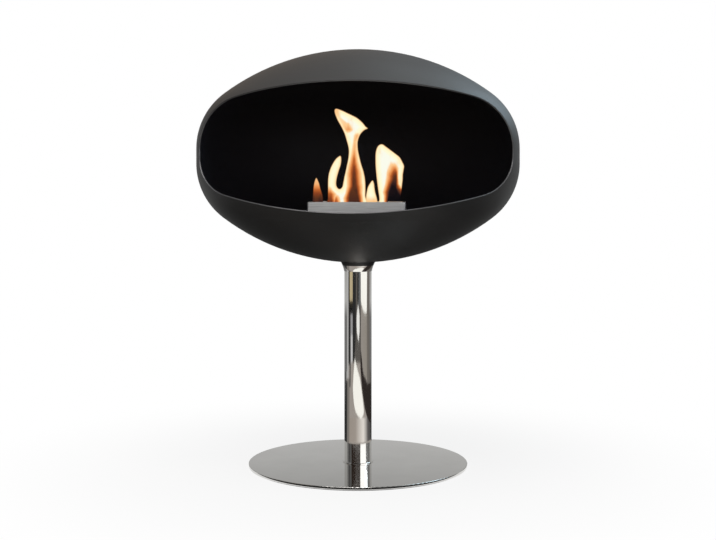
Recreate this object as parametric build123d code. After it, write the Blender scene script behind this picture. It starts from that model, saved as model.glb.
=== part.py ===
import os
from math import acos, atan2, cos, pi, radians, sin, sqrt

from build123d import *

# Pedestal ethanol fireplace: an oval steel firebox that turns on a polished column and base plate.
# Every length is in millimetres. The origin is on the floor under the column, +Z is up,
# and the mouth of the firebox faces -Y.

# Floor and base plate
pad_thickness = 2.0
pad_margin = 5.0              # how far the pad stays inside the plate's rim
plate_radius = 203.5
plate_thickness = 5.0
plate_edge_round = 0.6
base_screw_circle = 13.0      # radius of the circle of screws under the column

# Column
tube_radius = 25.4
tube_wall = 1.5
foot_ring_radius = 28.3
foot_ring_height = 1.8
foot_ring_chamfer = 0.5
foot_plug_height = 22.0

# Collar under the firebox
collar_height = 17.2
collar_top_radius = 32.2
collar_waist = 0.9            # how far the flare stands inside the straight line from top to bottom
collar_lip = 0.8              # thickness of the lower edge
collar_gap = 0.6              # air between the collar and the firebox
collar_relief = 1.0           # room round the turning flange

# Firebox, an oval body spun in two halves
equator_height = 577.0        # floor to the widest level
body_radius = 300.0
body_half_height = 198.0
body_band = 13.8              # upright stretch above and below the equator
body_shoulder_radius = 126.0
shell_wall = 3.0
seat_radius = 36.0            # flat pressed in the underside, where the swivel bolts on

# Mouth, as seen from the front
mouth_half_width = 282.2
mouth_rise = 123.7
mouth_drop = 101.2
mouth_upright = 10.3          # straight stretch of its sides, above the equator
mouth_upper_corner = 92.9
mouth_lower_corner = 73.7
mouth_edge_round = 0.8
mouth_skin_lean = radians(10)  # the skin in the mouth faces the front by more than this

# Swivel
spindle_radius = 10.0
spindle_flange_thickness = 7.0
spindle_thread_radius = 8.0
spindle_thread_length = 24.0
spindle_shoulder = 0.5        # how far the shaft's shoulder stays inside the lower bush
thrust_washer_thickness = 2.0
thrust_washer_margin = 0.4    # inside the column's outside
housing_flange = 4.0
housing_depth = 45.0
bush_wall = 2.0
bush_length = 15.0
bush_flange = 2.0
bush_flange_reach = 3.5
spindle_washer_thickness = 2.0
spring_thickness = 1.2
spring_rise = 0.9
lock_nut_flats = 24.0
lock_nut_height = 13.0
spindle_screw_circle = 17.0
mounting_disc_thickness = 4.0
mounting_disc_margin = 2.5    # inside the pressed flat

# Cradle that carries the burner
bracket_height = 31.6
bracket_sheet = 3.0
bracket_bend = 3.0            # inside radius
bracket_half_width = 20.0
bracket_foot_start = 4.0
bracket_leg = 28.5            # column axis to the middle of the leg's sheet
bracket_reach = 72.0
cradle_sheet = 3.0
cradle_wall_height = 25.0
cradle_corner = 6.0
cradle_clearance = 1.0        # round the burner
cradle_window_radius = 40.0   # gives access to the spindle screws
cradle_screw_x = 58.0
cradle_screw_y = 12.0

# Burner
burner_width = 180.0
burner_depth = 130.0
burner_height = 70.0
burner_corner = 3.0
tank_sheet = 2.0
frame_thickness = 3.0
frame_side_margin = 7.0
frame_front_margin = 21.0
frame_back_margin = 5.0
frame_corner = 4.0
deck_thickness = 3.0
flame_slot_depth = 44.0
flame_slot_corner = 3.0
wool_side_gap = 1.0
mesh_thickness = 1.0
mesh_hole_radius = 2.5
mesh_pitch = 8.0
mesh_margin = 4.0             # plain strip between the holes and the slot's edge

# Sliding lid
lid_thickness = 2.5
lid_overlap_front = 3.5       # cover beyond the slot when the lid is closed
lid_overlap_back = 10.5
lid_overlap_sides = 3.0
lid_side_gap = 0.25
lid_face_gap = 0.2
lid_back_gap = 0.5
lid_corner = 2.0
lid_tab_width = 28.0
lid_tab_thickness = 2.5
lid_tab_height = 5.0
lid_tab_inset = 4.0           # from the lid's back edge
lid_tab_offset = -14.0        # left of the middle
lid_tab_round = 1.0

# Fasteners
m5_radius = 2.5
m5_head_radius = 5.0
m5_length = 12.0
m5_socket = 3.0
m5_nut_flats = 8.0
m5_nut_height = 4.0
m6_radius = 3.0
m6_head_radius = 6.0
m6_length = 20.0
m6_socket = 4.0
cap_head_radius = 5.0
cap_head_height = 6.0
cap_socket = 5.0
cap_length = 16.0
socket_share = 0.55           # depth of a socket as a share of its head
head_recess = 0.1             # how far a countersunk head stays below its face

# Fits, as a gap on each side
seat_fit = 0.02               # pressed, welded or threaded together
running_fit = 0.03
running_gap = 0.1
screw_clearance = 0.3

# Levels worked out from the sizes above
pad_top = pad_thickness
plate_top = pad_top + plate_thickness
crown_rise = body_half_height - body_band


def crown_radius(reach, rise, corner):
    """Radius of the arc that runs level over the middle and is tangent to both corner arcs."""
    return (rise**2 + (reach - corner) ** 2 - corner**2) / (2 * (rise - corner))


def crown_lean(reach, rise, corner):
    """Angle from upright of the point where the crown's arc meets the corner's."""
    return atan2(reach - corner, crown_radius(reach, rise, corner) - rise)


body_crown = crown_radius(body_radius, crown_rise, body_shoulder_radius)
seat_level = equator_height - body_half_height + body_crown - sqrt(body_crown**2 - seat_radius**2)
spindle_flange_bottom = seat_level - spindle_flange_thickness
thrust_washer_top = spindle_flange_bottom - running_gap
column_top = thrust_washer_top - thrust_washer_thickness - housing_flange
housing_top = column_top + housing_flange
housing_bottom = column_top - housing_depth
lower_bush_bottom = housing_bottom - bush_flange
spindle_washer_top = lower_bush_bottom - running_gap
spring_top = spindle_washer_top - spindle_washer_thickness
lock_nut_top = spring_top - spring_thickness - spring_rise
shell_floor = seat_level + shell_wall
mounting_disc_top = shell_floor + mounting_disc_thickness
bracket_foot_top = mounting_disc_top + bracket_sheet
cradle_bottom = mounting_disc_top + bracket_height
burner_bottom = cradle_bottom + cradle_sheet
burner_top = burner_bottom + burner_height
frame_bottom = burner_top - frame_thickness
lid_top = frame_bottom - lid_face_gap
lid_bottom = lid_top - lid_thickness
deck_top = lid_bottom - lid_face_gap
deck_bottom = deck_top - deck_thickness
mesh_bottom = deck_bottom - mesh_thickness
tank_floor = burner_bottom + tank_sheet

# Plan sizes of the burner worked out from the sizes above
tank_half_width = burner_width / 2 - tank_sheet
tank_half_depth = burner_depth / 2 - tank_sheet
slot_half_width = burner_width / 2 - frame_side_margin
slot_front = frame_front_margin - burner_depth / 2
slot_back = slot_front + flame_slot_depth
lid_half_width = slot_half_width + lid_overlap_sides
lid_depth = flame_slot_depth + lid_overlap_front + lid_overlap_back
lid_back = tank_half_depth - lid_back_gap
tank_inner_corner = burner_corner - tank_sheet
bush_radius = spindle_radius + bush_wall
bush_flange_radius = bush_radius + bush_flange_reach


def disc(radius, bottom, top):
    """A round plate or bar on the column's axis."""
    return Pos(0, 0, bottom) * Cylinder(radius, top - bottom, align=(Align.CENTER, Align.CENTER, Align.MIN))


def ring(radius, bore, bottom, top):
    return disc(radius, bottom, top) - disc(bore, bottom, top)


def block(x_range, y_range, z_range, corner=0.0):
    """A block between three pairs of planes, with its upright edges rounded."""
    size = [high - low for low, high in (x_range, y_range, z_range)]
    centre = [(high + low) / 2 for low, high in (x_range, y_range, z_range)]
    body = Pos(*centre) * Box(*size)
    return fillet(body.edges().filter_by(Axis.Z), corner) if corner else body


def open_box(half_width, half_depth, bottom, top, sheet, corner):
    """A folded tray or tank, open at the top."""
    outside = block((-half_width, half_width), (-half_depth, half_depth), (bottom, top), corner)
    inner_width = half_width - sheet
    inner_depth = half_depth - sheet
    inner = block((-inner_width, inner_width), (-inner_depth, inner_depth), (bottom + sheet, top), corner - sheet)
    return outside - inner


def hexagon(flats, bottom, top):
    """A hexagonal bar, measured across its flats."""
    return Pos(0, 0, bottom) * extrude(RegularPolygon(flats / 2, 6, major_radius=False), top - bottom)


def on_arc(centre, radius, angle):
    """A point on a circle, at an angle from upright."""
    return (centre[0] + radius * sin(angle), centre[1] + radius * cos(angle))


def arc(centre, radius, start, end):
    middle = (start + end) / 2
    return ThreePointArc(*(on_arc(centre, radius, angle) for angle in (start, middle, end)))


def around(count, radius, first=0.0):
    """Places evenly spaced on a circle about the column's axis."""
    angles = [first + 2 * pi * index / count for index in range(count)]
    return [Pos(radius * cos(angle), radius * sin(angle), 0) for angle in angles]


# Fasteners, head up with the head's top face at the origin


def countersunk_blank(radius, head_radius, length, gap=0.0):
    """The outside of a countersunk screw, or with a gap the hole that takes it."""
    head_height = head_radius - radius
    shank = disc(radius + gap, -length, 0)
    head = Pos(0, 0, -head_height) * Cone(
        radius + gap, head_radius + gap, head_height, align=(Align.CENTER, Align.CENTER, Align.MIN)
    )
    return shank + head


def countersunk_screw(radius, head_radius, length, socket):
    depth = socket_share * (head_radius - radius)
    return countersunk_blank(radius, head_radius, length) - hexagon(socket, -depth, 0)


def cap_screw(radius, head_radius, head_height, length, socket):
    """A socket cap screw with the underside of its head at the origin."""
    body = disc(radius, -length, 0) + disc(head_radius, 0, head_height)
    return body - hexagon(socket, head_height * (1 - socket_share), head_height)


def nut(flats, bore, height):
    return hexagon(flats, 0, height) - disc(bore, 0, height)


# Stand: base plate, column and the fixed half of the swivel


def base_pad():
    return disc(plate_radius - pad_margin, 0, pad_top)


def base_screw_places():
    return [place * Pos(0, 0, pad_top) * Rot(180, 0, 0) for place in around(3, base_screw_circle, pi / 2)]


def base_plate():
    plate = disc(plate_radius, pad_top, plate_top)
    plate = fillet(plate.edges(), plate_edge_round)
    for place in base_screw_places():
        plate -= place * countersunk_blank(m6_radius, m6_head_radius, m6_length, screw_clearance)
    return plate


def base_screws():
    screw = Pos(0, 0, -head_recess) * countersunk_screw(m6_radius, m6_head_radius, m6_length, m6_socket)
    return [place * screw for place in base_screw_places()]


def foot_plug():
    plug = disc(tube_radius - tube_wall - seat_fit, plate_top, plate_top + foot_plug_height)
    for place in base_screw_places():
        plug -= place * disc(m6_radius + seat_fit, -m6_length - plate_thickness, 0)
    return plug


def foot_ring():
    top = plate_top + foot_ring_height
    body = ring(foot_ring_radius, tube_radius + seat_fit, plate_top, top)
    rim = body.edges().group_by(Axis.Z)[-1].sort_by(SortBy.RADIUS)[-1]
    return chamfer(rim, foot_ring_chamfer)


def column_tube():
    return ring(tube_radius, tube_radius - tube_wall, plate_top, column_top)


def bearing_housing():
    """Plug in the top of the column, with a flange that rests on the tube's end."""
    body = disc(tube_radius - tube_wall - seat_fit, housing_bottom, column_top)
    body += disc(tube_radius, column_top, housing_top)
    body -= disc(bush_radius + seat_fit, housing_bottom, housing_top)
    return body - disc(bush_flange_radius + seat_fit, housing_top - bush_flange, housing_top)


def flanged_bush():
    """A plain bearing bush, its flange's outer face at the origin and its barrel below."""
    body = disc(bush_radius, -bush_length - bush_flange, 0) + disc(bush_flange_radius, -bush_flange, 0)
    return body - disc(spindle_radius + running_fit, -bush_length - bush_flange, 0)


def upper_bush():
    return Pos(0, 0, housing_top) * flanged_bush()


def lower_bush():
    return Pos(0, 0, lower_bush_bottom) * Rot(180, 0, 0) * flanged_bush()


def thrust_washer():
    bore = bush_flange_radius + running_gap
    return ring(tube_radius - thrust_washer_margin, bore, housing_top, thrust_washer_top)


def column_collar():
    """Flared collar that hides the swivel. It stays on the column, and the firebox turns above it."""
    top = seat_level - collar_gap
    bottom = top - collar_height
    bore = tube_radius + seat_fit
    lower = Vector(bore + collar_lip, bottom)
    upper = Vector(collar_top_radius, top)
    middle = (lower + upper) / 2 - Vector(collar_waist, 0)
    flare = ThreePointArc(lower, middle, upper)
    rest = Polyline(upper, (bore, top), (bore, bottom), lower)
    body = revolve(Plane.XZ * make_face(flare + rest), Axis.Z)
    return body - disc(tube_radius + collar_relief, housing_top, top)


# Firebox: the turning half of the swivel, the shells and the cradle


def swivel_spindle():
    body = disc(tube_radius, spindle_flange_bottom, seat_level)
    shoulder = lower_bush_bottom + spindle_shoulder
    body += disc(spindle_radius, shoulder, spindle_flange_bottom)
    body += disc(spindle_thread_radius, shoulder - spindle_thread_length, shoulder)
    for place in spindle_screw_places():
        body -= place * disc(m6_radius + seat_fit, spindle_flange_bottom, seat_level)
    return body


def spindle_washer():
    return ring(bush_flange_radius, spindle_thread_radius + running_fit, spring_top, spindle_washer_top)


def disc_spring():
    """A cone of spring steel that keeps the swivel free of play."""
    inner = spindle_thread_radius + running_fit
    outer = bush_flange_radius
    section = Polyline(
        (outer, spring_top),
        (inner, spring_top - spring_rise),
        (inner, spring_top - spring_rise - spring_thickness),
        (outer, spring_top - spring_thickness),
        close=True,
    )
    return revolve(Plane.XZ * make_face(section), Axis.Z)


def lock_nut():
    return Pos(0, 0, lock_nut_top - lock_nut_height) * nut(
        lock_nut_flats, spindle_thread_radius + seat_fit, lock_nut_height
    )


def spindle_screw_places():
    return around(4, spindle_screw_circle, pi / 4)


def body_profile(inset):
    """Half section of the oval body, its wall set in by a distance. The equator is at zero."""
    lean = crown_lean(body_radius, crown_rise, body_shoulder_radius)
    shoulder_reach = body_radius - body_shoulder_radius
    shoulder = body_shoulder_radius - inset
    crown = body_crown - inset
    crown_drop = body_half_height - body_crown
    seat = seat_level - equator_height + inset
    seat_angle = acos((-crown_drop - seat) / crown)
    return [
        arc((0, crown_drop), crown, 0, lean),
        arc((shoulder_reach, body_band), shoulder, lean, pi / 2),
        Line((body_radius - inset, body_band), (body_radius - inset, -body_band)),
        arc((shoulder_reach, -body_band), shoulder, pi / 2, pi - lean),
        arc((0, -crown_drop), crown, pi - lean, pi - seat_angle),
        Polyline(on_arc((0, -crown_drop), crown, pi - seat_angle), (0, seat), (0, crown_drop + crown)),
    ]


def spun_body(inset):
    return revolve(Plane.YZ * make_face(body_profile(inset)), Axis.Z)


def mouth_outline():
    """Front view of the mouth: two flat arcs, four corner arcs and two short uprights."""
    upper_rise = mouth_rise - mouth_upright
    upper = crown_radius(mouth_half_width, upper_rise, mouth_upper_corner)
    lower = crown_radius(mouth_half_width, mouth_drop, mouth_lower_corner)
    upper_lean = crown_lean(mouth_half_width, upper_rise, mouth_upper_corner)
    lower_lean = crown_lean(mouth_half_width, mouth_drop, mouth_lower_corner)
    upper_reach = mouth_half_width - mouth_upper_corner
    lower_reach = mouth_half_width - mouth_lower_corner
    return [
        arc((upper_reach, mouth_upright), mouth_upper_corner, pi / 2, upper_lean),
        arc((0, mouth_rise - upper), upper, upper_lean, -upper_lean),
        arc((-upper_reach, mouth_upright), mouth_upper_corner, -upper_lean, -pi / 2),
        Line((-mouth_half_width, mouth_upright), (-mouth_half_width, 0)),
        arc((-lower_reach, 0), mouth_lower_corner, -pi / 2, lower_lean - pi),
        arc((0, lower - mouth_drop), lower, lower_lean - pi, -lower_lean - pi),
        arc((lower_reach, 0), mouth_lower_corner, pi - lower_lean, pi / 2),
        Line((mouth_half_width, 0), (mouth_half_width, mouth_upright)),
    ]


def mouth_plug(body):
    """The wall that is cut away for the mouth, its edges square to the body's skin."""
    passage = extrude(Plane.XZ * make_face(mouth_outline()), 2 * body_radius)
    skin = [face for face in (body & passage).faces() if face.normal_at().Y < -sin(mouth_skin_lean)]
    return Solid.thicken(Shell(skin), -2 * shell_wall)


def mouth_edges(shell):
    """The long edges of the cut: each borders one spun face, lies in front and isn't level."""
    spun = [face for face in shell.faces() if face.geom_type in (GeomType.CYLINDER, GeomType.TORUS, GeomType.SPHERE)]
    edges = [edge for face in spun for edge in face.edges()]
    single = [edge for edge in edges if sum(edge.is_same(other) for other in edges) == 1]
    in_front = [edge for edge in single if edge.center().Y < -shell_wall]
    return [edge for edge in in_front if edge.bounding_box().size.Z > mouth_edge_round / 10]


def firebox_shell():
    """The whole shell with its mouth, before it is parted at the equator."""
    body = spun_body(0)
    shell = body - spun_body(shell_wall) - mouth_plug(body)
    shell = fillet(mouth_edges(shell), mouth_edge_round)
    shell = Pos(0, 0, equator_height) * shell
    for place in spindle_screw_places():
        shell -= place * disc(m6_radius + screw_clearance, seat_level, shell_floor)
    return shell


def shell_upper(shell):
    return split(shell, Plane.XY.offset(equator_height), keep=Keep.TOP)


def shell_lower(shell):
    return split(shell, Plane.XY.offset(equator_height), keep=Keep.BOTTOM)


def mounting_disc():
    body = disc(seat_radius - mounting_disc_margin, shell_floor, mounting_disc_top)
    for place in spindle_screw_places():
        body -= place * disc(m6_radius + screw_clearance, shell_floor, mounting_disc_top)
    return body


def spindle_screws():
    screw = cap_screw(m6_radius, cap_head_radius, cap_head_height, cap_length, cap_socket)
    return [place * Pos(0, 0, bracket_foot_top) * screw for place in spindle_screw_places()]


def cradle_bracket(side):
    """A Z-bent strip from the mounting disc out to the underside of the cradle."""
    low = mounting_disc_top + bracket_sheet / 2
    high = cradle_bottom - bracket_sheet / 2
    corners = [(bracket_foot_start, low), (bracket_leg, low), (bracket_leg, high), (bracket_reach, high)]
    line = Plane.XZ * FilletPolyline(*corners, radius=bracket_bend + bracket_sheet / 2)
    start = Plane(origin=line @ 0, x_dir=(0, 1, 0), z_dir=line % 0)
    strip = sweep(start * Rectangle(2 * bracket_half_width, bracket_sheet), path=line)
    for place in spindle_screw_places():
        strip -= place * disc(m6_radius + screw_clearance, mounting_disc_top, bracket_foot_top)
    for y in (-cradle_screw_y, cradle_screw_y):
        hole = disc(m5_radius + screw_clearance, cradle_bottom - bracket_sheet, cradle_bottom)
        strip -= Pos(cradle_screw_x, y, 0) * hole
    return strip if side > 0 else mirror(strip, Plane.YZ)


def cradle_screw_places():
    return [Pos(x, y, 0) for x in (-cradle_screw_x, cradle_screw_x) for y in (-cradle_screw_y, cradle_screw_y)]


def burner_cradle():
    half_width = burner_width / 2 + cradle_clearance + cradle_sheet
    half_depth = burner_depth / 2 + cradle_clearance + cradle_sheet
    top = burner_bottom + cradle_wall_height
    body = open_box(half_width, half_depth, cradle_bottom, top, cradle_sheet, cradle_corner)
    body -= disc(cradle_window_radius, cradle_bottom, burner_bottom)
    hole = countersunk_blank(m5_radius, m5_head_radius, m5_length, screw_clearance)
    for place in cradle_screw_places():
        body -= place * Pos(0, 0, burner_bottom) * hole
    return body


def cradle_screws():
    screw = countersunk_screw(m5_radius, m5_head_radius, m5_length, m5_socket)
    return [place * Pos(0, 0, burner_bottom - head_recess) * screw for place in cradle_screw_places()]


def cradle_nuts():
    piece = Pos(0, 0, cradle_bottom - bracket_sheet - m5_nut_height) * nut(
        m5_nut_flats, m5_radius + seat_fit, m5_nut_height
    )
    return [place * piece for place in cradle_screw_places()]


# Burner: it lifts out of the cradle


def burner_tank():
    return open_box(burner_width / 2, burner_depth / 2, burner_bottom, frame_bottom, tank_sheet, burner_corner)


def burner_frame():
    """Top plate of the burner, open over the flame slot and the lid."""
    half_width = burner_width / 2
    half_depth = burner_depth / 2
    levels = (frame_bottom, burner_top)
    plate = block((-half_width, half_width), (-half_depth, half_depth), levels, burner_corner)
    opening = ((-slot_half_width, slot_half_width), (slot_front, half_depth - frame_back_margin), levels)
    return plate - block(*opening, frame_corner)


def flame_deck():
    """Plate under the lid. Its slot is where the fire burns."""
    half_width = tank_half_width - seat_fit
    half_depth = tank_half_depth - seat_fit
    levels = (deck_bottom, deck_top)
    plate = block((-half_width, half_width), (-half_depth, half_depth), levels, tank_inner_corner)
    slot = block((-slot_half_width, slot_half_width), (slot_front, slot_back), levels, flame_slot_corner)
    return plate - slot


def lid_guide(side):
    """Strip that spaces the top plate from the deck and guides the lid's edge."""
    inner = lid_half_width + lid_side_gap
    outer = tank_half_width - seat_fit
    half_depth = tank_half_depth - tank_inner_corner
    x_range = (inner, outer) if side > 0 else (-outer, -inner)
    return block(x_range, (-half_depth, half_depth), (deck_top, frame_bottom))


def ceramic_wool():
    half_width = tank_half_width - wool_side_gap
    half_depth = tank_half_depth - wool_side_gap
    return block((-half_width, half_width), (-half_depth, half_depth), (tank_floor, mesh_bottom))


def wool_mesh():
    """Perforated sheet that holds the wool down, pierced where the slot is."""
    half_width = tank_half_width - seat_fit
    half_depth = tank_half_depth - seat_fit
    levels = (mesh_bottom, deck_bottom)
    sheet = block((-half_width, half_width), (-half_depth, half_depth), levels, tank_inner_corner)
    columns = int((2 * slot_half_width - 2 * mesh_margin) / mesh_pitch)
    rows = int((flame_slot_depth - 2 * mesh_margin) / mesh_pitch)
    centre = Pos(0, (slot_front + slot_back) / 2, 0)
    holes = [
        centre * place * disc(mesh_hole_radius, *levels)
        for place in GridLocations(mesh_pitch, mesh_pitch, columns, rows)
    ]
    return sheet - holes


# Lid: it slides forward over the slot to put the fire out


def slide_lid():
    levels = (lid_bottom, lid_top)
    lid = block((-lid_half_width, lid_half_width), (lid_back - lid_depth, lid_back), levels, lid_corner)
    tab_back = lid_back - lid_tab_inset
    tab_sides = (lid_tab_offset - lid_tab_width / 2, lid_tab_offset + lid_tab_width / 2)
    tab = block(tab_sides, (tab_back - lid_tab_thickness, tab_back), (lid_bottom, lid_top + lid_tab_height))
    tab = fillet(tab.edges().group_by(Axis.Z)[-1], lid_tab_round)
    return lid + tab


shell = firebox_shell()

nodes = {
    "base_pad": base_pad(),
    "base_plate": base_plate(),
    "base_screws": base_screws(),
    "foot_plug": foot_plug(),
    "foot_ring": foot_ring(),
    "column_tube": column_tube(),
    "bearing_housing": bearing_housing(),
    "upper_bush": upper_bush(),
    "lower_bush": lower_bush(),
    "thrust_washer": thrust_washer(),
    "column_collar": column_collar(),
    "swivel_spindle": swivel_spindle(),
    "spindle_washer": spindle_washer(),
    "disc_spring": disc_spring(),
    "lock_nut": lock_nut(),
    "shell_lower": shell_lower(shell),
    "shell_upper": shell_upper(shell),
    "mounting_disc": mounting_disc(),
    "spindle_screws": spindle_screws(),
    "cradle_bracket_left": cradle_bracket(-1),
    "cradle_bracket_right": cradle_bracket(1),
    "burner_cradle": burner_cradle(),
    "cradle_screws": cradle_screws(),
    "cradle_nuts": cradle_nuts(),
    "burner_tank": burner_tank(),
    "burner_frame": burner_frame(),
    "flame_deck": flame_deck(),
    "lid_guide_left": lid_guide(-1),
    "lid_guide_right": lid_guide(1),
    "ceramic_wool": ceramic_wool(),
    "wool_mesh": wool_mesh(),
    "slide_lid": slide_lid(),
}

os.makedirs("parts", exist_ok=True)
for name, shape in nodes.items():
    pieces = shape if isinstance(shape, list) else [shape]
    solids = [solid for piece in pieces for solid in piece.solids()]
    export_step(solids[0] if len(solids) == 1 else Compound(solids), f"parts/{name}.step")
    print(name, len(solids), round(sum(solid.volume for solid in solids), 1))
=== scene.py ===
from math import cos, pi, radians, sin, sqrt

import bmesh
import bpy
import numpy as np
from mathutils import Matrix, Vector
from mathutils.geometry import delaunay_2d_cdt


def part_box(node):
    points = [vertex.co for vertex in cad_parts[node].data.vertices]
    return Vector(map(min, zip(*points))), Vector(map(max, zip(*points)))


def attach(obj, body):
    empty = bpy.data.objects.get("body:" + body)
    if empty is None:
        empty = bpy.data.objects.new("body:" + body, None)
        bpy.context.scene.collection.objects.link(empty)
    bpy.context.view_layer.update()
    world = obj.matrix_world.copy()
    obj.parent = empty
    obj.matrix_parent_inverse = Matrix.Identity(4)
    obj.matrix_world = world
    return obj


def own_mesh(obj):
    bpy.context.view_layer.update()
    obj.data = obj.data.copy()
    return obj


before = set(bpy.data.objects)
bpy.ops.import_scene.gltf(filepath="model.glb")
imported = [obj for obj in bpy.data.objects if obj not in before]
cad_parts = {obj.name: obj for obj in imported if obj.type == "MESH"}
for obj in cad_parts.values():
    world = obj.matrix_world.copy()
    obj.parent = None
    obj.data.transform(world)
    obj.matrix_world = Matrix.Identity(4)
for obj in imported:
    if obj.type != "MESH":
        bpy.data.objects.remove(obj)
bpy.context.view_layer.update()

# Looks of the pedestal ethanol fireplace. Lengths are in metres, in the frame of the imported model.

# Camera, as fitted to the outlines of the firebox and the base plate
camera_distance = 2.350
camera_height = 0.5248
camera_azimuth = radians(2.71)
camera_lens = 63.2            # millimetres, on a sensor of camera_sensor
camera_sensor = 36.0
camera_shift_y = -0.1198

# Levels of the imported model
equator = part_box("shell_upper")[0].z
burner_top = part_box("burner_frame")[1].z
collar_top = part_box("column_collar")[1].z
collar_band = 0.0065          # black band at the top of the collar


def link(obj):
    bpy.context.collection.objects.link(obj)
    return obj


def grey(tone):
    return (tone, tone, tone)


# Materials


class Nodes:
    """A short way to write a node tree."""

    def __init__(self, tree):
        self.tree = tree
        tree.nodes.clear()

    def add(self, kind, **settings):
        node = self.tree.nodes.new(kind)
        for name, value in settings.items():
            setattr(node, name, value)
        return node

    def join(self, source, target):
        self.tree.links.new(source, target)

    def put(self, socket, value):
        """Sets a socket, or links it where the value is another node's output."""
        if isinstance(value, bpy.types.NodeSocket):
            self.join(value, socket)
        else:
            socket.default_value = value

    def math(self, operation, first, second=0.0, third=0.0):
        node = self.add("ShaderNodeMath", operation=operation)
        for socket, value in zip(node.inputs, (first, second, third)):
            self.put(socket, value)
        return node.outputs[0]

    def vector(self, operation, *values):
        """Vector maths, which gives a number for a length or a dot product."""
        node = self.add("ShaderNodeVectorMath", operation=operation)
        for socket, value in zip(node.inputs, values):
            self.put(socket, value)
        return node.outputs["Value" if operation in ("LENGTH", "DOT_PRODUCT") else "Vector"]

    def ramp(self, factor, *stops):
        """A colour ramp through (position, colour) stops."""
        node = self.add("ShaderNodeValToRGB")
        elements = node.color_ramp.elements
        while len(elements) < len(stops):
            elements.new(0.5)
        for element, (position, colour) in zip(elements, stops):
            element.position = position
            element.color = (*colour, 1.0)
        self.put(node.inputs["Fac"], factor)
        return node.outputs["Color"]

    def span(self, value, low, high, start=0.0, end=1.0, smooth=False):
        """Maps low..high of a value to start..end, clamped."""
        node = self.add("ShaderNodeMapRange", interpolation_type="SMOOTHSTEP" if smooth else "LINEAR")
        for socket, setting in zip(node.inputs, (value, low, high, start, end)):
            self.put(socket, setting)
        return node.outputs["Result"]

    def mix(self, factor, first, second, blend="MIX"):
        node = self.add("ShaderNodeMix", data_type="RGBA", blend_type=blend)
        self.put(node.inputs["Factor"], factor)
        self.put(node.inputs["A"], first if isinstance(first, bpy.types.NodeSocket) else (*first, 1.0))
        self.put(node.inputs["B"], second if isinstance(second, bpy.types.NodeSocket) else (*second, 1.0))
        return node.outputs["Result"]

    def coordinates(self, kind):
        return self.add("ShaderNodeTexCoord").outputs[kind]

    def place(self, scale=(1, 1, 1)):
        """Object coordinates, stretched by a scale on each axis."""
        mapping = self.add("ShaderNodeMapping")
        mapping.inputs["Scale"].default_value = scale
        self.join(self.coordinates("Object"), mapping.inputs["Vector"])
        return mapping.outputs["Vector"]

    def height(self, vector):
        split = self.add("ShaderNodeSeparateXYZ")
        self.join(vector, split.inputs["Vector"])
        return split.outputs["Z"]

    def blend(self, factor, first, second):
        """A shader that goes from one to another."""
        node = self.add("ShaderNodeMixShader")
        for socket, value in zip(node.inputs, (factor, first, second)):
            self.join(value, socket)
        return node.outputs["Shader"]

    def noise(self, vector, scale, detail=4.0, roughness=0.55):
        node = self.add("ShaderNodeTexNoise")
        self.join(vector, node.inputs["Vector"])
        node.inputs["Scale"].default_value = scale
        node.inputs["Detail"].default_value = detail
        node.inputs["Roughness"].default_value = roughness
        return node.outputs["Fac"]

    def bump(self, height, distance, strength=1.0):
        node = self.add("ShaderNodeBump")
        node.inputs["Distance"].default_value = distance
        node.inputs["Strength"].default_value = strength
        self.join(height, node.inputs["Height"])
        return node.outputs["Normal"]

    def trait(self, name):
        """A value that the mesh holds at its points."""
        return self.add("ShaderNodeAttribute", attribute_name=name).outputs["Fac"]

    def seen(self):
        """1 for camera, glossy and transmission rays, and 0 for all others."""
        path = self.add("ShaderNodeLightPath").outputs
        seen = self.math("MAXIMUM", path["Is Camera Ray"], path["Is Glossy Ray"])
        return self.math("MAXIMUM", seen, path["Is Transmission Ray"])

    def glow(self, tone, strength=1.0):
        """Plain light of a tone."""
        emission = self.add("ShaderNodeEmission")
        self.put(emission.inputs["Color"], tone)
        self.put(emission.inputs["Strength"], strength)
        return emission.outputs["Emission"]

    def surface(self, shader):
        output = self.add("ShaderNodeOutputMaterial")
        self.join(shader, output.inputs["Surface"])


def material(name):
    result = bpy.data.materials.new(name)
    result.use_nodes = True
    return result, Nodes(result.node_tree)


def principled(nodes, **sockets):
    shader = nodes.add("ShaderNodeBsdfPrincipled")
    for name, value in sockets.items():
        nodes.put(shader.inputs[name.replace("_", " ")], value)
    nodes.surface(shader.outputs["BSDF"])


above_all = 10.0              # a level that nothing reaches
steel_tones = ((0.70, 0.69, 0.67), (0.76, 0.75, 0.73))
collar_black = (0.006, 0.006, 0.007)
skin_tone = (0.041, 0.0405, 0.040)           # the shell's outside
# The inside is black paint. Its bluish cast is painted cool light.
inside_tone = (0.038, 0.039, 0.053)
# The cut edge's lighter tone and metallic share are a painted highlight: they stand in for light catching the
# edge.
cut_edge_painted_highlight = (0.135, 0.135, 0.14)
cut_edge_highlight_metal = 0.5              # how metallic the cut edge is made, part of its painted highlight


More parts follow.
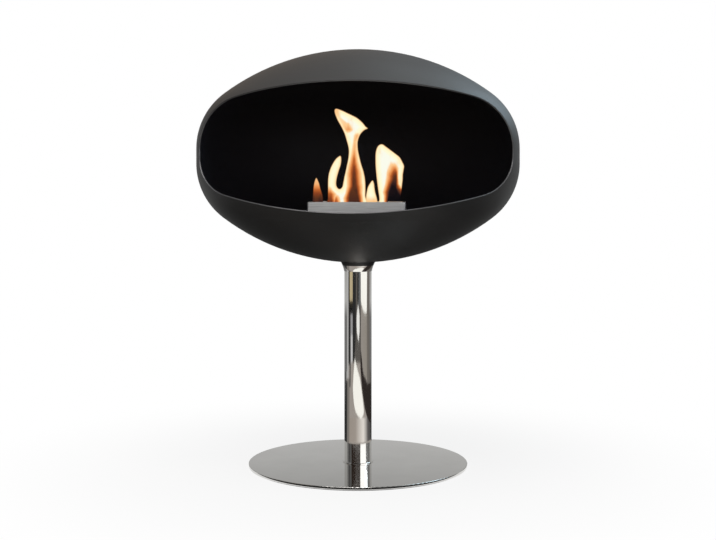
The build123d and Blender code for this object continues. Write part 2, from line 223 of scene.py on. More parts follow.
def shell_paint():
    """Matt charcoal outside, black inside, and lighter and partly metallic on the cut edge as a painted
    highlight, by which way the wall faces.
    """
    result, nodes = material("shell_paint")
    centred = nodes.vector("SUBTRACT", nodes.coordinates("Object"), (0.0, 0.0, equator))
    facing = nodes.vector("DOT_PRODUCT", nodes.vector("NORMALIZE", centred), nodes.coordinates("Normal"))
    outside = nodes.span(facing, -0.8, -0.5)
    skin = nodes.span(facing, 0.60, 0.76)
    fine = nodes.noise(nodes.place(), 900.0, 2.0)
    broad = nodes.noise(nodes.place(), 6.0, 3.0)
    speckle = nodes.span(fine, 0.3, 0.7, 0.92, 1.08)
    cloud = nodes.span(broad, 0.3, 0.7, 0.95, 1.05)
    shade = nodes.ramp(nodes.math("MULTIPLY", speckle, cloud), (0.0, grey(0.0)), (1.0, grey(1.0)))
    paint = nodes.mix(outside, inside_tone, nodes.mix(skin, cut_edge_painted_highlight, skin_tone))
    edge_roughness = nodes.span(outside, 0.0, 1.0, 0.62, 0.36)
    roughness = nodes.math("ADD", edge_roughness, nodes.span(skin, 0.0, 1.0, 0.0, 0.10))
    principled(
        nodes,
        Base_Color=nodes.mix(1.0, paint, shade, "MULTIPLY"),
        Metallic=nodes.math("MULTIPLY", nodes.math("SUBTRACT", outside, skin), cut_edge_highlight_metal),
        Roughness=roughness,
        Specular_IOR_Level=0.25,
        Normal=nodes.bump(fine, 0.00006, 0.5),
    )
    return result


def polished_steel(name, black_from=above_all):
    """Mirror-polished stainless steel with faint wipe marks, painted black above a level."""
    result, nodes = material(name)
    smear = nodes.noise(nodes.place((1.0, 1.0, 0.35)), 14.0, 5.0)
    fine = nodes.noise(nodes.place((1.0, 1.0, 0.1)), 420.0, 2.0)
    roughness = nodes.span(smear, 0.3, 0.75, 0.035, 0.07)
    colour = nodes.ramp(smear, (0.3, steel_tones[0]), (0.7, steel_tones[1]))
    painted = nodes.math("GREATER_THAN", nodes.height(nodes.place()), black_from)
    principled(
        nodes,
        Base_Color=nodes.mix(painted, colour, collar_black),
        Metallic=nodes.math("SUBTRACT", 1.0, painted),
        Roughness=nodes.math("MULTIPLY_ADD", painted, 0.4, roughness),
        Normal=nodes.bump(fine, 0.00001, 0.25),
    )
    return result


def shades(tone, low, high):
    """A darker and a lighter shade of a tone."""
    return tuple(tuple(min(1.0, share * part) for part in tone) for share in (low, high))


def metal(name, tone, roughness, scratch_scale, grain=(1.0, 1.0, 1.0), depth=0.00002):
    """Machined, plated or brushed metal. The grain stretches along the axis with the small factor."""
    result, nodes = material(name)
    scratch = nodes.noise(nodes.place(grain), scratch_scale, 3.0)
    cloud = nodes.noise(nodes.place(), 25.0, 3.0)
    low, high = shades(tone, 0.88, 1.1)
    principled(
        nodes,
        Base_Color=nodes.ramp(scratch, (0.3, low), (0.7, high)),
        Metallic=1.0,
        Roughness=nodes.span(cloud, 0.3, 0.7, roughness * 0.85, roughness * 1.15),
        Normal=nodes.bump(scratch, depth, 0.4),
    )
    return result


def dull(name, tone, roughness, scale, depth):
    """Rubber, plastic or paint with a fine grain."""
    result, nodes = material(name)
    grain = nodes.noise(nodes.place(), scale, 3.0)
    low, high = shades(tone, 0.85, 1.15)
    principled(
        nodes,
        Base_Color=nodes.ramp(grain, (0.3, low), (0.7, high)),
        Roughness=nodes.span(grain, 0.3, 0.7, roughness * 0.92, min(1.0, roughness * 1.08)),
        Normal=nodes.bump(grain, depth, 0.5),
    )
    return result


def wool_cloth():
    """Ceramic fibre: matted strands, sooty where the fire burns."""
    result, nodes = material("ceramic_fibre")
    strands = nodes.noise(nodes.place((1.0, 2.6, 1.0)), 260.0, 5.0, 0.7)
    soot = nodes.noise(nodes.place(), 22.0, 4.0)
    fibre = nodes.ramp(strands, (0.3, (0.55, 0.52, 0.47)), (0.7, (0.86, 0.84, 0.79)))
    colour = nodes.mix(nodes.span(soot, 0.45, 0.7, 0.0, 0.5), fibre, (0.16, 0.13, 0.11))
    principled(nodes, Base_Color=colour, Roughness=0.95, Normal=nodes.bump(strands, 0.0006, 0.9))
    return result


steel = polished_steel("polished_steel")
collar_steel = polished_steel("collar_steel", collar_top - collar_band)
paint = shell_paint()
brushed = metal(
    "brushed_steel", (0.68, 0.68, 0.67), roughness=0.42, scratch_scale=500.0, grain=(0.06, 1.0, 1.0),
)
turned = metal("turned_steel", (0.50, 0.50, 0.51), roughness=0.32, scratch_scale=300.0, grain=(1.0, 1.0, 3.0))
zinc = metal("zinc_steel", (0.60, 0.61, 0.63), roughness=0.3, scratch_scale=180.0)
bronze = metal("sintered_bronze", (0.55, 0.36, 0.18), roughness=0.45, scratch_scale=900.0, depth=0.00005)
spring = metal("spring_steel", (0.16, 0.17, 0.20), roughness=0.35, scratch_scale=300.0)
rubber = dull("pad_rubber", (0.03, 0.03, 0.03), roughness=0.8, scale=600.0, depth=0.0001)
plastic = dull("bearing_plastic", (0.78, 0.77, 0.72), roughness=0.5, scale=700.0, depth=0.00003)
black = dull("black_steel", (0.008, 0.008, 0.009), roughness=0.6, scale=900.0, depth=0.00005)
wool = wool_cloth()

finishes = {
    steel: ("base_plate", "foot_ring", "column_tube"),
    collar_steel: ("column_collar",),
    paint: ("shell_lower", "shell_upper"),
    brushed: (
        "burner_tank", "burner_frame", "flame_deck", "lid_guide_left", "lid_guide_right", "wool_mesh",
        "slide_lid",
    ),
    turned: ("foot_plug", "bearing_housing", "swivel_spindle"),
    zinc: ("base_screws", "spindle_washer", "lock_nut", "spindle_screws", "cradle_screws", "cradle_nuts"),
    bronze: ("upper_bush", "lower_bush"),
    spring: ("disc_spring",),
    rubber: ("base_pad",),
    plastic: ("thrust_washer",),
    black: ("mounting_disc", "cradle_bracket_left", "cradle_bracket_right", "burner_cradle"),
    wool: ("ceramic_wool",),
}
for finish, names in finishes.items():
    for name in names:
        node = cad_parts[name]
        node.data.materials.clear()
        node.data.materials.append(finish)

# Flames: thin glowing bodies that stand in the burner's slot, drawn as seen from the front.
# Points are in millimetres, across from the burner's middle and up from its top face.
# A band darkens a flame towards its cool parts. Each of its rows is (up, four points across, strength):
# it rises from nothing at the first point to its strength at the second, and falls from the third
# point to the fourth.

slot_middle = -22.0
flame_foot = -10.0            # where the flames start, on the mesh under the slot
flame_step = 1.4              # spacing of the flames' own mesh
curve_steps = 8               # points on an outline from one of its corners to the next
rim_gap = 0.45 * flame_step   # how far inside the outline that mesh's other points start
full_share = 0.8              # a flame is full at this share of its greatest distance from its rim
plain_reach = 12.0            # a flame has its own thickness where that greatest distance is this much
sway = 5.0                    # how far a flame leans forward and back
sway_height = 34.0            # how much further up it has turned by one radian
sway_start = 40.0             # how far up it leans fully
join_gap = 0.0001             # points of the outline that are closer than this are one
weld_gap = 0.02               # and so are points of the two faces that are closer than this
glow_reach = 12.0             # how far in from its rim a flame's colour goes on changing
mm = 0.001

flames = {
    "flame_main": {
        "outline": (
            (-54, flame_foot), (-55, 6), (-55, 22), (-55.5, 36), (-54.5, 49), (-51.5, 60), (-47, 70),
            (-41, 79), (-35, 84.5), (-31.2, 85.5), (-29.8, 79), (-30.8, 69), (-34.5, 58), (-37.7, 47),
            (-39.4, 36), (-38.5, 29), (-35.5, 25), (-32, 24.5), (-28.7, 28), (-27, 36), (-25, 47),
            (-22.5, 57), (-18.5, 75), (-16.8, 86), (-16.6, 96), (-18.2, 106), (-21, 116), (-24.5, 127),
            (-29.5, 138), (-36, 149), (-41, 161), (-42.5, 169), (-40, 172.5), (-34, 171.5), (-22, 166.5),
            (-8, 159.5), (2, 154), (10, 146.5), (15.5, 140), (20, 135.5), (13, 132), (7, 126), (3.2, 119),
            (1, 110), (1.2, 99), (3.5, 86), (7, 71), (11.5, 56), (14.5, 40), (15.2, 26), (15, 12),
            (14, flame_foot),
        ),
        "bands": (
            (
                (-10, -25, -14, 5, 13, 0.90), (7, -27, -14, 2, 12, 0.86), (16, -23, -13, 0, 11, 0.83),
                (29, -21, -8, -2, 11, 0.78), (53, -22, -7, -4, 10, 0.70), (77, -15, -6.3, -5.6, 3, 0.55),
                (96, -12, -5.6, -5.2, 1.5, 0.32), (111, -9, -4.7, -4.3, 1, 0.24),
                (122, -8, -0.6, -0.2, 7, 0.26), (128, -5, 1, 2, 7, 0.0),
            ),
            (
                (126, -21, -16, -13, -9, 0.0), (133, -25, -20, -13, -7, 0.30),
                (144, -33, -25, -19, -12, 0.17), (155, -38, -34, -32, -27, 0.12),
                (168, -48, -44, -37, -30, 0.20),
            ),
            (
                (-10, -72, -66, -46, -36, 0.85), (7, -72, -66, -48, -39, 0.70),
                (14.5, -72, -66, -48, -36, 0.58), (22, -72, -66, -50, -44, 0.33),
                (30, -72, -66, -52, -46, 0.0),
            ),
            (
                (-10, -46, -42, -36, -28, 0.80), (7, -43, -39.3, -37.4, -30, 0.42),
                (15, -43, -39.3, -37.4, -32, 0.0),
            ),
        ),
        "thickness": 9.0,
        "phase": 0.3,
    },
    "flame_left": {
        "outline": (
            (-83.5, flame_foot), (-83.5, 3), (-83, 11), (-82.5, 19), (-82, 27), (-81, 34), (-79, 41),
            (-76.8, 45), (-74, 41), (-71, 34), (-69, 26), (-66.5, 18), (-64.5, 11), (-63.8, 3),
            (-63.5, flame_foot),
        ),
        "bands": (
            (
                (-10, -99, -90, -60, -50, 0.90), (5, -99, -90, -60, -50, 0.83),
                (11, -99, -90, -60, -50, 0.77), (18, -99, -90, -60, -50, 0.66),
                (26, -99, -90, -60, -50, 0.46), (33, -99, -90, -60, -50, 0.30),
                (44, -99, -90, -60, -50, 0.22),
            ),
        ),
        "thickness": 5.0,
        "phase": 1.0,
    },
    "flame_low": {
        "outline": (
            (15, flame_foot), (15.2, 3), (15.6, 11), (16.6, 18), (18.8, 27), (22.5, 34), (28, 40), (30.8, 35),
            (32, 27), (33.4, 18), (35.2, 11), (37, 3), (37.5, flame_foot),
        ),
        "bands": (((-10, 0, 10, 45, 50, 0.35), (4, 0, 10, 45, 50, 0.14), (13, 0, 10, 45, 50, 0.0)),),
        "thickness": 5.0,
        "phase": 3.0,
    },
    "flame_hooked": {
        "outline": (
            (41, flame_foot), (40.3, 5), (39.8, 11), (38.8, 18), (37.6, 28), (36.3, 38), (35, 50), (33.8, 62),
            (33, 75), (33, 87), (34.5, 97), (37.5, 103.5), (42, 107), (47, 106.8), (52.5, 103), (58.5, 98.5),
            (66, 93), (73, 87.5), (78.8, 82), (83.5, 74), (86.8, 66.5), (86, 59), (84.6, 51), (84.2, 41),
            (83, 31), (81.5, 19), (80.5, 7), (80, flame_foot),
        ),
        "bands": (
            (
                (-10, 49, 56, 100, 120, 1.0), (4, 48, 57, 100, 120, 1.0), (11, 48, 58, 79, 120, 0.98),
                (18, 46, 59, 74, 105, 0.97), (26, 48, 62, 71, 84, 0.97), (33, 50, 64, 71.5, 77.5, 0.93),
                (40, 51, 67, 72, 77, 0.87), (48, 52, 69, 72, 76.5, 0.82), (55, 53, 69, 72, 77, 0.66),
                (62, 55, 68, 71, 77.5, 0.44), (70, 57, 63.5, 70, 75.5, 0.14), (76, 58, 63, 69, 75, 0.0),
            ),
        ),
        "thickness": 8.0,
        "phase": 4.4,
    },
}


def smooth_closed(points):
    """A closed curve through the points, as an array of points along its spans."""
    corners = np.array(points, dtype=float)
    before, after, beyond = (np.roll(corners, shift, axis=0) for shift in (1, -1, -2))
    parts = []
    for t in np.arange(curve_steps) / curve_steps:
        bend = 2 * before - 5 * corners + 4 * after - beyond
        twist = 3 * corners - before - 3 * after + beyond
        parts.append(0.5 * (2 * corners + (after - before) * t + bend * t**2 + twist * t**3))
    return np.stack(parts, axis=1).reshape(-1, 2)


def to_outline(outline, points):
    """Distance from each point to the outline."""
    spans = np.roll(outline, -1, axis=0) - outline
    offsets = points[:, None, :] - outline[None, :, :]
    shares = np.clip((offsets * spans).sum(axis=2) / (spans**2).sum(axis=1), 0.0, 1.0)
    return np.linalg.norm(offsets - shares[:, :, None] * spans, axis=2).min(axis=1)


def inside(outline, points):
    """Which of the points lie inside the outline."""
    starts, ends = outline, np.roll(outline, -1, axis=0)
    x, z = points[:, :1], points[:, 1:]
    straddles = (starts[:, 1] > z) != (ends[:, 1] > z)
    rise = np.where(straddles, ends[:, 1] - starts[:, 1], 1.0)
    crossing = (ends[:, 0] - starts[:, 0]) * (z - starts[:, 1]) / rise + starts[:, 0]
    return (straddles & (x < crossing)).sum(axis=1) % 2 == 1


def band_strength(band, points):
    """How strong a band is at each point, its rows joined by straight lines."""
    rows = np.array(band, dtype=float)
    first, second, third, fourth, strength = (
        np.interp(points[:, 1], rows[:, 0], rows[:, column]) for column in range(1, 6)
    )
    rise = (points[:, 0] - first) / (second - first)
    fall = (fourth - points[:, 0]) / (fourth - third)
    return strength * np.clip(np.minimum(rise, fall), 0.0, 1.0)


def flame_points(outline):
    """The outline's points and an even triangle pattern of points inside it."""
    low, high = outline.min(axis=0), outline.max(axis=0)
    rows = np.arange(low[1], high[1], flame_step * sin(radians(60)))
    pattern = [
        (x, z)
        for row, z in enumerate(rows)
        for x in np.arange(low[0] + (row % 2) * flame_step / 2, high[0], flame_step)
    ]
    pattern = np.array(pattern)
    pattern = pattern[inside(outline, pattern)]
    pattern = pattern[to_outline(outline, pattern) > rim_gap]
    return [Vector(point) for point in np.vstack((outline, pattern))]


def make_flame(name, flame):
    """A flame's two faces, filled with triangles and bulged to its thickness, riding on the burner."""
    outline = smooth_closed(flame["outline"])
    ring = [(index, (index + 1) % len(outline)) for index in range(len(outline))]
    flat, _, faces, *_ = delaunay_2d_cdt(flame_points(outline), ring, [], 1, join_gap)
    flat = np.array([tuple(point) for point in flat])
    faces = np.array([face for face in faces if len(face) == 3])
    faces = faces[inside(outline, flat[faces].mean(axis=1))]
    sides = flat[faces]
    first, second = sides[:, 1] - sides[:, 0], sides[:, 2] - sides[:, 0]
    flipped = first[:, 0] * second[:, 1] - first[:, 1] * second[:, 0] < 0
    faces[flipped] = faces[flipped][:, ::-1]
    rim = to_outline(outline, flat)
    share = np.clip(rim / (full_share * rim.max()), 0.0, 1.0)
    half = flame["thickness"] * sqrt(rim.max() / plain_reach) * np.sqrt(1.0 - (1.0 - share) ** 2)
    lift = np.clip(flat[:, 1], 0.0, None)
    lean = sway * np.sin(lift / sway_height + flame["phase"])
    middle = slot_middle + lean * np.clip(lift / sway_start, 0.0, 1.0)
    height = burner_top + flat[:, 1] * mm
    front = np.stack((flat[:, 0] * mm, (middle - half) * mm, height), axis=1)
    back = np.stack((flat[:, 0] * mm, (middle + half) * mm, height), axis=1)
    points = np.vstack((front, back)).tolist()
    triangles = np.vstack((faces, faces[:, ::-1] + len(flat))).tolist()
    mesh = bpy.data.meshes.new(name)
    mesh.from_pydata(points, [], triangles)
    traits = {
        "rim": rim,
        "shade": np.max([band_strength(band, flat) for band in flame["bands"]], axis=0),
    }
    for title, values in traits.items():
        mesh.attributes.new(title, "FLOAT", "POINT").data.foreach_set("value", np.tile(values, 2))
    sheet = bmesh.new()
    sheet.from_mesh(mesh)
    bmesh.ops.remove_doubles(sheet, verts=sheet.verts, dist=weld_gap * mm)
    sheet.to_mesh(mesh)
    sheet.free()
    mesh.polygons.foreach_set("use_smooth", [True] * len(mesh.polygons))
    mesh.materials.append(fire)
    piece = link(bpy.data.objects.new(name, mesh))
    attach(piece, "burner")
    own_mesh(piece)


def fire_material():
    """Cream in the middle, orange at the rim, and through orange and brown to clear in the cool parts."""
    result, nodes = material("fire")
    rim, shade = (nodes.trait(title) for title in ("rim", "shade"))
    lick = nodes.noise(nodes.place((1.0, 1.0, 0.4)), 70.0, 3.0)
    rim = nodes.math("ADD", rim, nodes.span(lick, 0.3, 0.7, -0.4, 0.4))
    shade = nodes.math("ADD", shade, nodes.span(lick, 0.5, 0.68, 0.0, 0.08))
    body = nodes.ramp(
        nodes.span(rim, 0.0, glow_reach),
        (0.0, (0.70, 0.34, 0.12)), (0.07, (0.95, 0.55, 0.26)), (0.17, (1.0, 0.84, 0.50)),
        (0.33, (1.0, 0.94, 0.59)), (0.6, (1.0, 0.97, 0.68)), (1.0, (0.96, 0.97, 0.84)),
    )
    cooler = nodes.ramp(
        shade,
        (0.2, (1.0, 0.60, 0.28)), (0.4, (0.83, 0.30, 0.09)), (0.55, (0.50, 0.125, 0.027)),
        (0.7, (0.24, 0.052, 0.016)), (0.82, (0.10, 0.032, 0.014)), (0.92, (0.040, 0.015, 0.014)),
        (1.0, (0.009, 0.008, 0.013)),
    )
    colour = nodes.mix(nodes.span(shade, 0.0, 0.2, smooth=True), body, cooler)
    clear = nodes.span(shade, 0.88, 1.0, 1.0, 0.15, smooth=True)
    principled(
        nodes,
        Base_Color=(0.0, 0.0, 0.0, 1.0),
        Roughness=1.0,
        Specular_IOR_Level=0.0,
        Emission_Color=colour,
        Emission_Strength=1.0,
        Alpha=nodes.math("MULTIPLY", nodes.span(rim, -0.2, 2.0, smooth=True), clear),
    )
    return result


fire = fire_material()
for name, flame in flames.items():
    make_flame(name, flame)

# Stage: floor, lamps and the cards that the polished steel reflects

floor_half_size = 30.0
floor_tone = 0.90             # as the camera sees it
floor_bounce = 0.10           # for the light that it throws back
floor_fade = (0.22, 0.8)      # between these distances the floor goes over to the plain white background
white_share = (0.86, 1.0)     # how much of that white there is at the one and at the other
white = (1.0, 1.0, 1.0, 1.0)
sky_tone = (0.95, 0.97, 1.0, 1.0)
sky_strength = 0.26


def make_floor():
    """White and plain far away. Near the object it is lit, so that it keeps the shadow."""
    mesh = bpy.data.meshes.new("floor")
    corners = [(x * floor_half_size, y * floor_half_size, 0) for x, y in ((-1, -1), (1, -1), (1, 1), (-1, 1))]
    mesh.from_pydata(corners, [], [(0, 1, 2, 3)])
    floor = link(bpy.data.objects.new("floor", mesh))
    result, nodes = material("floor")
    path = nodes.add("ShaderNodeLightPath")
    plain = nodes.add("ShaderNodeBsdfDiffuse")
    tone = nodes.mix(path.outputs["Is Camera Ray"], grey(floor_bounce), grey(floor_tone))
    nodes.join(tone, plain.inputs["Color"])
    distance = nodes.vector("LENGTH", nodes.coordinates("Object"))
    share = nodes.span(distance, *floor_fade, *white_share, smooth=True)
    seen_share = nodes.math("MULTIPLY", nodes.seen(), share)
    nodes.surface(nodes.blend(seen_share, plain.outputs["BSDF"], nodes.glow(white)))
    mesh.materials.append(result)


def make_world():
    """Plain white for what looks at it, and dimmer for what it lights."""
    world = bpy.data.worlds.new("studio")
    bpy.context.scene.world = world
    world.use_nodes = True
    nodes = Nodes(world.node_tree)
    skies = []
    for tone, strength in ((sky_tone, sky_strength), (white, 1.0)):
        background = nodes.add("ShaderNodeBackground")
        background.inputs["Color"].default_value = tone
        background.inputs["Strength"].default_value = strength
        skies.append(background.outputs["Background"])
    output = nodes.add("ShaderNodeOutputWorld")
    nodes.join(nodes.blend(nodes.seen(), *skies), output.inputs["Surface"])


# Cards round the stand that only the polished steel and the paint's gloss reflect. Each is drawn as it
# shows on the column, by heights on the column and by turns from the camera's side in degrees.
# What shows at the column's foot has been mirrored by the base plate too, and lies high on the wall.

card_distance = 2.4           # the wall's distance from the column
card_floor = 0.001
card_turn_step = 4            # about how far a card's columns of corners are apart, in degrees
layer_shrink = 0.0004         # how much nearer and higher each card lies than the one before it
layer_lift = 0.0002
card_low, card_high = 0.0475, 0.40
foot_low, foot_high = 0.478, 0.585

# Heights of the cards' rows of corners, the same for all cards, with one where the wall meets the floor
wall_foot = (card_floor * camera_distance + camera_height * card_distance) / (camera_distance + card_distance)
card_rows = sorted((wall_foot, *np.arange(0.04, 0.60, 0.006)))


def on_card(turn, level):
    """The place on the round wall or the floor that the column mirrors at that turn and height."""
    slope = (camera_height - level) / camera_distance
    run = card_distance
    height = level - slope * run
    if height < card_floor:
        height = card_floor
        run = (level - height) / slope
    angle = radians(turn) + camera_azimuth
    return (run * sin(angle), -run * cos(angle), height)


def stage_card(name, mesh, level=0.0):
    """Puts a card on the stage, where only glossy rays find it."""
    card = link(bpy.data.objects.new(name, mesh))
    card.location = (0.0, 0.0, level)
    card.visible_camera = False
    card.visible_diffuse = False
    card.visible_shadow = False
    card.visible_transmission = False
    card.visible_volume_scatter = False


def make_card(name, layer, left, right, first, second=None):
    """A card between two edges of (height, turn) points from the bottom up."""
    bottom, top = left[0][0], left[-1][0]
    levels = [bottom, *(level for level in card_rows if bottom < level < top), top]
    turns = [np.interp(levels, *zip(*edge)) for edge in (left, right)]
    width = int(max(high - low for low, high in zip(*turns)) / card_turn_step) + 3
    vertices = []
    for level, low, high in zip(levels, *turns):
        for turn in np.linspace(low, high, width):
            x, y, z = on_card(turn, level)
            shrink = 1.0 - layer_shrink * layer
            vertices.append((x * shrink, y * shrink, z + layer_lift * layer))
    quads = [
        (start, start + 1, start + width + 1, start + width)
        for row in range(len(levels) - 1)
        for start in range(row * width, row * width + width - 1)
    ]
    mesh = bpy.data.meshes.new(name)
    mesh.from_pydata(vertices, [], quads)
    across = np.tile(np.linspace(0.0, 1.0, width), len(levels))
    mesh.attributes.new("across", "FLOAT", "POINT").data.foreach_set("value", across)
    result, nodes = material(name)
    nodes.surface(nodes.glow(nodes.mix(nodes.trait("across"), first, second or first)))
    mesh.materials.append(result)
    stage_card(name, mesh)


def upright(bottom, top, left, right, first, second=None):
    """A card with upright edges."""
    return (((bottom, left), (top, left)), ((bottom, right), (top, right)), first, second)


# The room that the column mirrors, later cards in front of earlier ones. Each has a left edge, a right
# edge, and one tone or a tone for each edge.
column_cards = {
    "base": upright(card_low, card_high, -125, 135, (0.44, 0.40, 0.37)),
    "left_edge": upright(0.16, card_high, -125, -112, grey(0.20)),
    "left_edge_low": upright(card_low, 0.16, -125, -102, grey(0.05)),
    "left_pale": upright(0.165, card_high, -112, -88, grey(0.56)),
    "left_low": upright(card_low, 0.165, -102, -76, (0.26, 0.24, 0.22)),
    "left_line": upright(0.19, card_high, -88, -74, grey(0.02)),
    "left_field": (
        ((0.15, -76), (0.308, -76)),
        ((0.15, -66), (0.20, -64), (0.29, -66), (0.308, -60)),
        grey(0.07),
    ),
    "left_black": upright(0.284, 0.308, -72, -42, grey(0.01)),
    "yellow": upright(0.308, card_high, -75, -46, (0.62, 0.52, 0.33)),
    "pale_high": upright(0.245, 0.284, -64, -47, (0.42, 0.42, 0.44)),
    "pale_low": upright(0.195, 0.245, -64, -46, (0.72, 0.72, 0.73)),
    "dark_middle": (
        ((0.195, -46), (card_high, -46)),
        ((0.195, -30), (0.25, -15), (card_high, -18)),
        grey(0.035),
    ),
    "brown_middle": (
        ((0.195, -30), (0.25, -18), (card_high, -18)),
        ((0.195, 24), (card_high, 24)),
        (0.13, 0.12, 0.11),
    ),
    "black_line": upright(0.30, card_high, -4, 5, grey(0.01)),
    "slate": upright(0.30, card_high, 5, 24, (0.17, 0.175, 0.18)),
    "taupe": upright(0.165, 0.31, 24, 80, (0.40, 0.37, 0.34), (0.36, 0.33, 0.29)),
    "right_side": upright(0.155, card_high, 80, 135, (0.23, 0.21, 0.19), (0.13, 0.12, 0.11)),
    "window": (
        ((0.285, 60), (0.291, 44), (0.298, 34), (0.307, 24), (card_high, 22)),
        ((0.285, 76), (0.291, 80), (card_high, 84)),
        (1.28, 1.28, 1.22),
    ),
    "lens_high": (
        ((0.235, 2), (0.25, -9), (0.265, -12), (0.28, -11), (0.29, -6), (0.30, -1)),
        ((0.235, 6), (0.25, 13), (0.265, 13), (0.28, 13), (0.29, 9), (0.30, 2)),
        (1.15, 1.15, 1.12),
    ),
    "lens_low": (
        (
            (0.092, 20), (0.10, -8), (0.107, -24), (0.12, -34), (0.133, -40), (0.146, -44), (0.172, -38),
            (0.185, -34), (0.20, -28),
        ),
        (
            (0.092, 30), (0.10, 48), (0.107, 50), (0.12, 44), (0.133, 36), (0.146, 29), (0.165, 17),
            (0.178, 0), (0.20, -24),
        ),
        (1.25, 1.24, 1.18),
    ),
    "low_left": upright(card_low, 0.092, -76, -20, (0.42, 0.37, 0.33), (0.45, 0.40, 0.36)),
    "low_middle": upright(card_low, 0.092, -20, 44, (0.45, 0.40, 0.36), (1.0, 0.95, 0.90)),
    "low_right": upright(card_low, 0.092, 44, 88, (1.0, 0.95, 0.90), (0.14, 0.13, 0.13)),
    "low_edge": upright(card_low, 0.092, 88, 135, (0.14, 0.13, 0.13), (0.07, 0.07, 0.07)),
    "wedge": (
        (
            (0.080, 118), (0.094, 78), (0.107, 60), (0.12, 50), (0.146, 33), (0.172, 24), (0.185, 20),
            (0.215, 22),
        ),
        (
            (0.080, 135), (0.094, 135), (0.155, 135), (0.160, 76), (0.172, 48), (0.185, 38), (0.20, 33),
            (0.215, 26),
        ),
        (0.035, 0.028, 0.025),
    ),
    "foot_left": upright(foot_low, foot_high, -135, -88, grey(0.28)),
    "foot_line": upright(foot_low, foot_high, -88, -77, grey(0.05)),
    "foot_grey": upright(foot_low, foot_high, -77, -56, grey(0.13)),
    "foot_black": upright(foot_low, foot_high, -56, -20, (0.035, 0.025, 0.02)),
    "foot_brown": upright(foot_low, foot_high, -20, 20, (0.08, 0.07, 0.065)),
    "foot_white": upright(foot_low, foot_high, 20, 70, grey(1.7)),
    "foot_right": upright(foot_low, foot_high, 70, 135, grey(0.34), grey(0.09)),
}


# Other cards for the gloss: a wall behind the object, a room round it and a dim floor
backdrop_distance = 1.2
backdrop_top = 0.9
backdrop_turns = (115, 255)
backdrop_steps = 48
backdrop_tones = (
    (0.0, grey(0.19)), (0.17, grey(0.22)), (0.22, (0.55, 0.55, 0.545)), (0.38, (0.40, 0.40, 0.395)),
    (1.0, (0.37, 0.37, 0.365)),
)
room_radius = 2.9
room_rings = 24
room_middle = 0.5             # its height
room_tones = ((0.0, 0.13), (0.17, 0.17), (0.42, 0.20), (0.64, 0.33), (0.77, 0.45), (1.0, 0.60))
ground_inner = 0.215
ground_level = 0.0004
ground_steps = 64
ground_fade = (0.6, 2.2)
ground_light = (0.03, 0.30)   # at the one and at the other of those distances

# Brighter or warmer patches of the room: direction, cosines at which a patch starts and is full, and tone
room_patches = (
    ((0.66, 0.51, 0.55), (0.90, 0.97), (2.4, 3.0, 3.4)),
    ((0.27, 0.38, 0.88), (0.95, 0.985), (1.7, 1.9, 2.0)),
    ((-0.32, 0.80, 0.48), (0.90, 0.98), (0.36, 0.29, 0.23)),
    ((-0.15, -1.0, 0.0), (0.82, 0.94), (1.35, 1.35, 1.35)),
    ((0.70, -0.71, 0.05), (0.93, 0.985), (1.6, 1.6, 1.75)),
)


def make_backdrop():
    """Grey wall behind the object, which the base plate mirrors: darker near the floor and high up."""
    vertices = []
    for turn in np.linspace(*backdrop_turns, backdrop_steps + 1):
        angle = radians(turn) + camera_azimuth
        for height in (0.0, backdrop_top):
            vertices.append((backdrop_distance * sin(angle), -backdrop_distance * cos(angle), height))
    quads = [(2 * step, 2 * step + 2, 2 * step + 3, 2 * step + 1) for step in range(backdrop_steps)]
    mesh = bpy.data.meshes.new("card_backdrop")
    mesh.from_pydata(vertices, [], quads)
    result, nodes = material("card_backdrop")
    height = nodes.span(nodes.height(nodes.coordinates("Object")), 0.0, backdrop_top)
    nodes.surface(nodes.glow(nodes.ramp(height, *backdrop_tones)))
    mesh.materials.append(result)
    stage_card("card_backdrop", mesh)


def make_room():
    """A dim room for the gloss alone: dark low down and paler above, with brighter patches."""
    mesh = bpy.data.meshes.new("card_room")
    ball = bmesh.new()
    bmesh.ops.create_uvsphere(ball, u_segments=2 * room_rings, v_segments=room_rings, radius=room_radius)
    ball.to_mesh(mesh)
    ball.free()
    result, nodes = material("card_room")
    outward = nodes.vector("NORMALIZE", nodes.coordinates("Object"))
    height = nodes.span(nodes.height(outward), 0.0, 1.0)
    tone = nodes.ramp(height, *((place, grey(shade)) for place, shade in room_tones))
    for direction, narrow, patch in room_patches:
        near = nodes.vector("DOT_PRODUCT", outward, Vector(direction).normalized())
        tone = nodes.mix(nodes.span(near, *narrow, smooth=True), tone, patch)
    nodes.surface(nodes.glow(tone))
    mesh.materials.append(result)
    stage_card("card_room", mesh, room_middle)


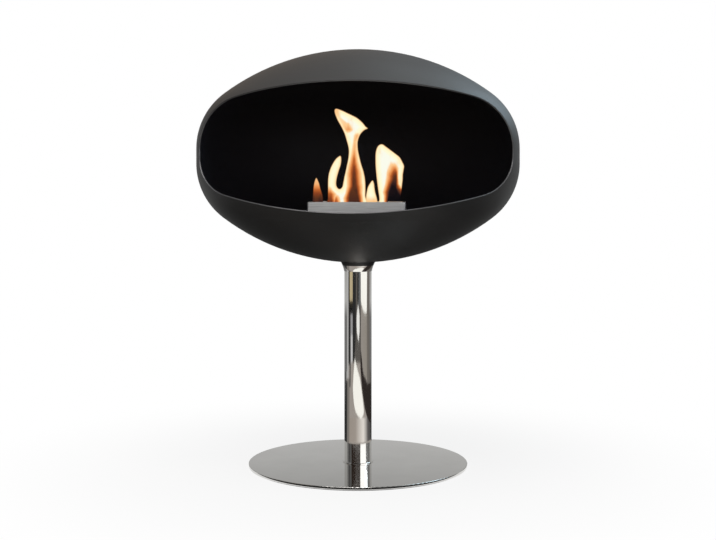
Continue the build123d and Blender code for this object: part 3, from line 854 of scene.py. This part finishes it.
def make_ground():
    """Dim floor round the object for the gloss alone."""
    mesh = bpy.data.meshes.new("card_ground")
    turns = [2 * pi * step / ground_steps for step in range(ground_steps)]
    vertices = [
        (radius * cos(turn), radius * sin(turn), ground_level)
        for radius in (ground_inner, room_radius)
        for turn in turns
    ]
    quads = [
        (step, ground_steps + step, ground_steps + (step + 1) % ground_steps, (step + 1) % ground_steps)
        for step in range(ground_steps)
    ]
    mesh.from_pydata(vertices, [], quads)
    result, nodes = material("card_ground")
    distance = nodes.vector("LENGTH", nodes.coordinates("Object"))
    strength = nodes.span(distance, *ground_fade, *ground_light)
    nodes.surface(nodes.glow(white, strength))
    mesh.materials.append(result)
    stage_card("card_ground", mesh)


def area_lamp(name, place, target, size, power, colour=(1.0, 1.0, 1.0)):
    data = bpy.data.lights.new(name, "AREA")
    data.shape = "RECTANGLE"
    data.size, data.size_y = size
    data.energy = power
    data.color = colour
    lamp = link(bpy.data.objects.new(name, data))
    lamp.location = place
    lamp.rotation_euler = (Vector(target) - Vector(place)).to_track_quat("-Z", "Y").to_euler()
    return lamp


def make_camera():
    data = bpy.data.cameras.new("camera")
    data.lens = camera_lens
    data.sensor_width = camera_sensor
    data.shift_y = camera_shift_y
    camera = link(bpy.data.objects.new("camera", data))
    camera.location = (
        camera_distance * sin(camera_azimuth),
        -camera_distance * cos(camera_azimuth),
        camera_height,
    )
    camera.rotation_euler = (pi / 2, 0.0, camera_azimuth)
    bpy.context.scene.camera = camera


make_floor()
make_world()
make_camera()
for layer, (name, settings) in enumerate(column_cards.items()):
    make_card(f"card_{name}", layer, *settings)
make_backdrop()
make_room()
make_ground()
area_lamp(
    "top_softbox", place=(-0.3, -0.9, 2.6), target=(0.0, 0.0, 0.5), size=(1.6, 1.6), power=33.0,
    colour=(1.0, 0.97, 0.94),
)
area_lamp(
    "side_softbox", place=(2.2, -0.5, 0.95), target=(0.0, 0.0, 0.55), size=(0.8, 0.8), power=9.0,
    colour=(0.85, 0.94, 1.0),
)
low_lamp = area_lamp(
    "low_softbox", place=(0.0, -0.135, 0.345), target=(0.0, -0.085, 0.40), size=(0.05, 0.03), power=0.012,
)
low_lamp.visible_glossy = False

bpy.context.scene.view_settings.view_transform = "Standard"
